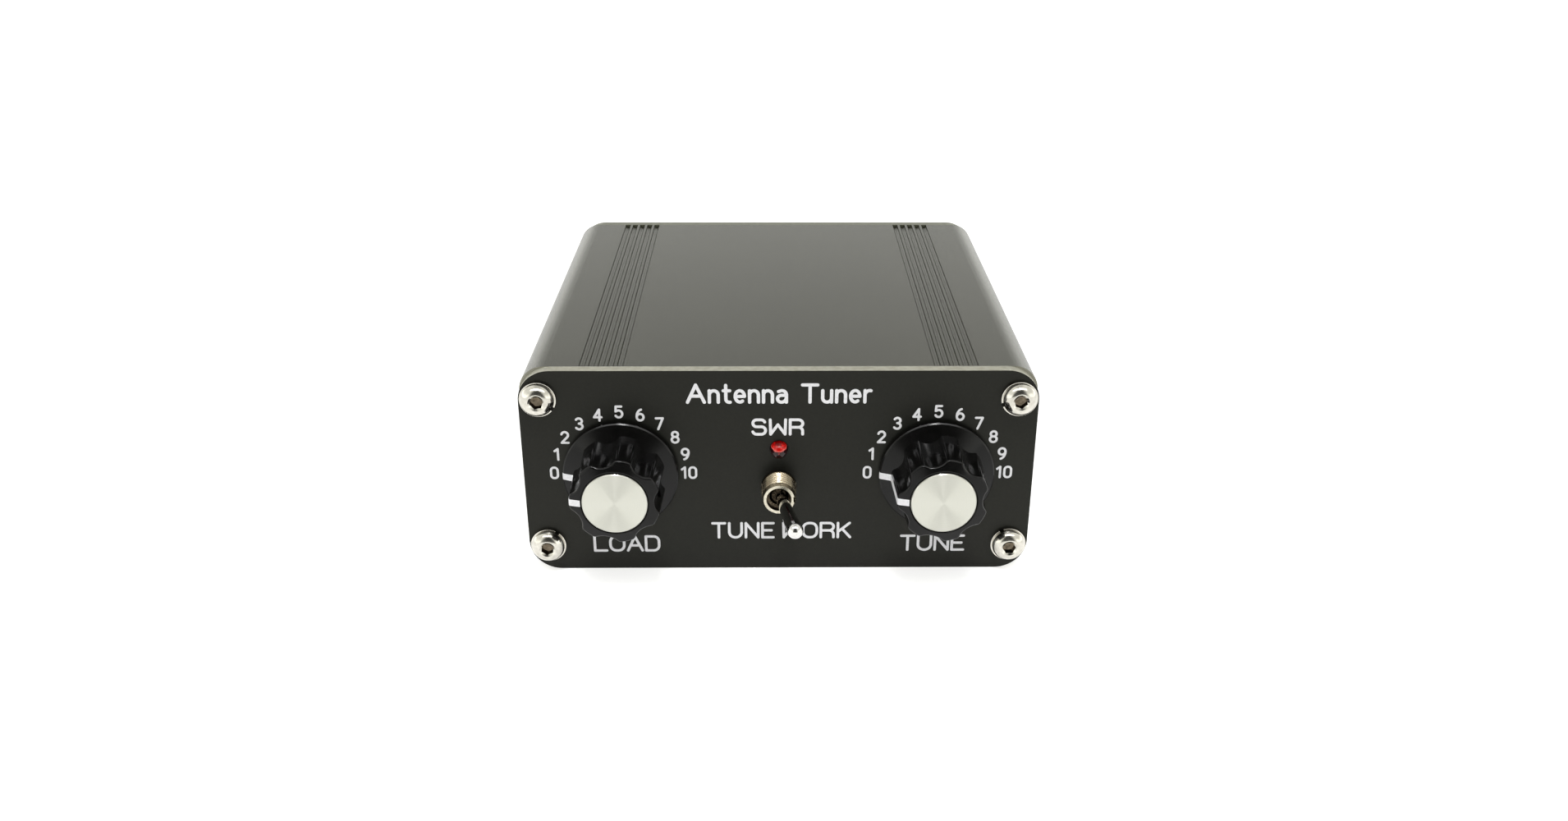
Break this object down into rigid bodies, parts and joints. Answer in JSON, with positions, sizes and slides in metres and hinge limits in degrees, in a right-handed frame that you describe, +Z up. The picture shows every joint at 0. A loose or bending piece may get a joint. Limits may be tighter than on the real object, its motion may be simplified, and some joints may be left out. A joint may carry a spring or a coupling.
{
  "type": "antenna tuner",
  "caption": "Compact antenna tuner: flat box of two grey extrusion halves with black end panels, skirted tuning knobs, a lamp and a toggle switch in front, and bayonet sockets behind.",
  "frame": {"origin": "centre of the case's flat underside, on its outer face", "axes": "+X to the right seen from the front, +Y to the rear, +Z up"},
  "size_m": [0.088, 0.1203, 0.038],
  "materials": {
    "anodised_case": "bead-blasted grey anodised",
    "black_panel": "satin black with a bare pale cut edge",
    "screw_steel": "bright stainless",
    "knob_phenolic": "moulded gloss black",
    "spun_aluminium": "concentric spun face",
    "brass": "turned",
    "zinc_steel": "zinc plated",
    "white_moulding": "moulded",
    "clear_cover": "clear moulding",
    "capacitor_plates": "stamped sheet",
    "nickel": "nickel plated",
    "lever_chrome": "polished",
    "black_moulding": "moulded",
    "gold_contacts": "gold flashed",
    "lamp_red": "tinted epoxy, clear gloss",
    "tinned_wire": "tinned",
    "green_board": "solder mask over glass epoxy",
    "coil_core_red": "painted powdered iron",
    "enamelled_copper": "enamelled wire",
    "ferrite": "sintered",
    "resistor_body": "coated film resistor",
    "diode_glass": "glass envelope",
    "ceramic_disc": "dipped ceramic"
  },
  "bodies": {
    "case": {"antenna_socket_barrel": "nickel", "board_header": "black_moulding", "board_header_pins": "gold_contacts", "bridge_resistors": "resistor_body", "bridge_transformer_core": "ferrite", "bridge_transformer_winding": "enamelled_copper", "capacitor_mount_screws": "zinc_steel", "capacitor_terminals": "zinc_steel", "case_bottom_shell": "anodised_case", "case_top_shell": "anodised_case", "coil_core": "coil_core_red", "coil_winding": "enamelled_copper", "detector_capacitors": "ceramic_disc", "detector_diodes": "diode_glass", "front_board": "green_board", "front_lock_washers": "screw_steel", "front_panel": "black_panel", "front_panel_screws": "screw_steel", "load_capacitor_base": "white_moulding", "load_capacitor_cover": "clear_cover", "load_capacitor_stator": "capacitor_plates", "main_board": "green_board", "radio_socket_barrel": "nickel", "rear_lock_washers": "screw_steel", "rear_panel": "black_panel", "rear_panel_screws": "screw_steel", "socket_contacts": "gold_contacts", "socket_housings": "black_moulding", "socket_insulators": "white_moulding", "socket_lock_washers": "screw_steel", "socket_nuts": "nickel", "switch_bushing": "nickel", "switch_frame": "zinc_steel", "switch_housing": "black_moulding", "switch_lock_washer": "screw_steel", "switch_nut": "nickel", "switch_terminals": "gold_contacts", "swr_led": "lamp_red", "swr_led_leads": "tinned_wire", "tune_capacitor_base": "white_moulding", "tune_capacitor_cover": "clear_cover", "tune_capacitor_stator": "capacitor_plates"},
    "load_control": {"load_knob_body": "knob_phenolic", "load_knob_cap": "spun_aluminium", "load_knob_insert": "brass", "load_knob_set_screw": "zinc_steel", "load_shaft_extension": "brass", "load_shaft_screw": "zinc_steel", "load_capacitor_rotor": "brass"},
    "tune_control": {"tune_knob_body": "knob_phenolic", "tune_knob_cap": "spun_aluminium", "tune_knob_insert": "brass", "tune_knob_set_screw": "zinc_steel", "tune_shaft_extension": "brass", "tune_shaft_screw": "zinc_steel", "tune_capacitor_rotor": "brass"},
    "switch_toggle": {"switch_lever": "lever_chrome", "switch_plunger": "white_moulding"},
    "switch_rocker": {"switch_carriage": "white_moulding", "switch_contacts": "gold_contacts"}
  },
  "joints": [
    {"name": "load_knob_turn", "type": "hinge", "parent": "case", "child": "load_control", "pos_m": [-0.0272, -0.05, 0.019], "axis": [0, 1, 0], "range_deg": [0, 180]},
    {"name": "tune_knob_turn", "type": "hinge", "parent": "case", "child": "tune_control", "pos_m": [0.0272, -0.05, 0.019], "axis": [0, 1, 0], "range_deg": [0, 180]},
    {"name": "switch_lever_throw", "type": "hinge", "parent": "case", "child": "switch_toggle", "pos_m": [0, -0.0465, 0.0162], "axis": [0, 0, 1], "range_deg": [-22.2, 0]},
    {"name": "switch_rocker_tilt", "type": "hinge", "parent": "case", "child": "switch_rocker", "pos_m": [0, -0.0344, 0.0162], "axis": [0, 0, 1], "range_deg": [0, 16]}
  ],
  "couplings": [
    {"joint": "switch_rocker_tilt", "follows": "switch_lever_throw", "ratio": -0.72}
  ]
}
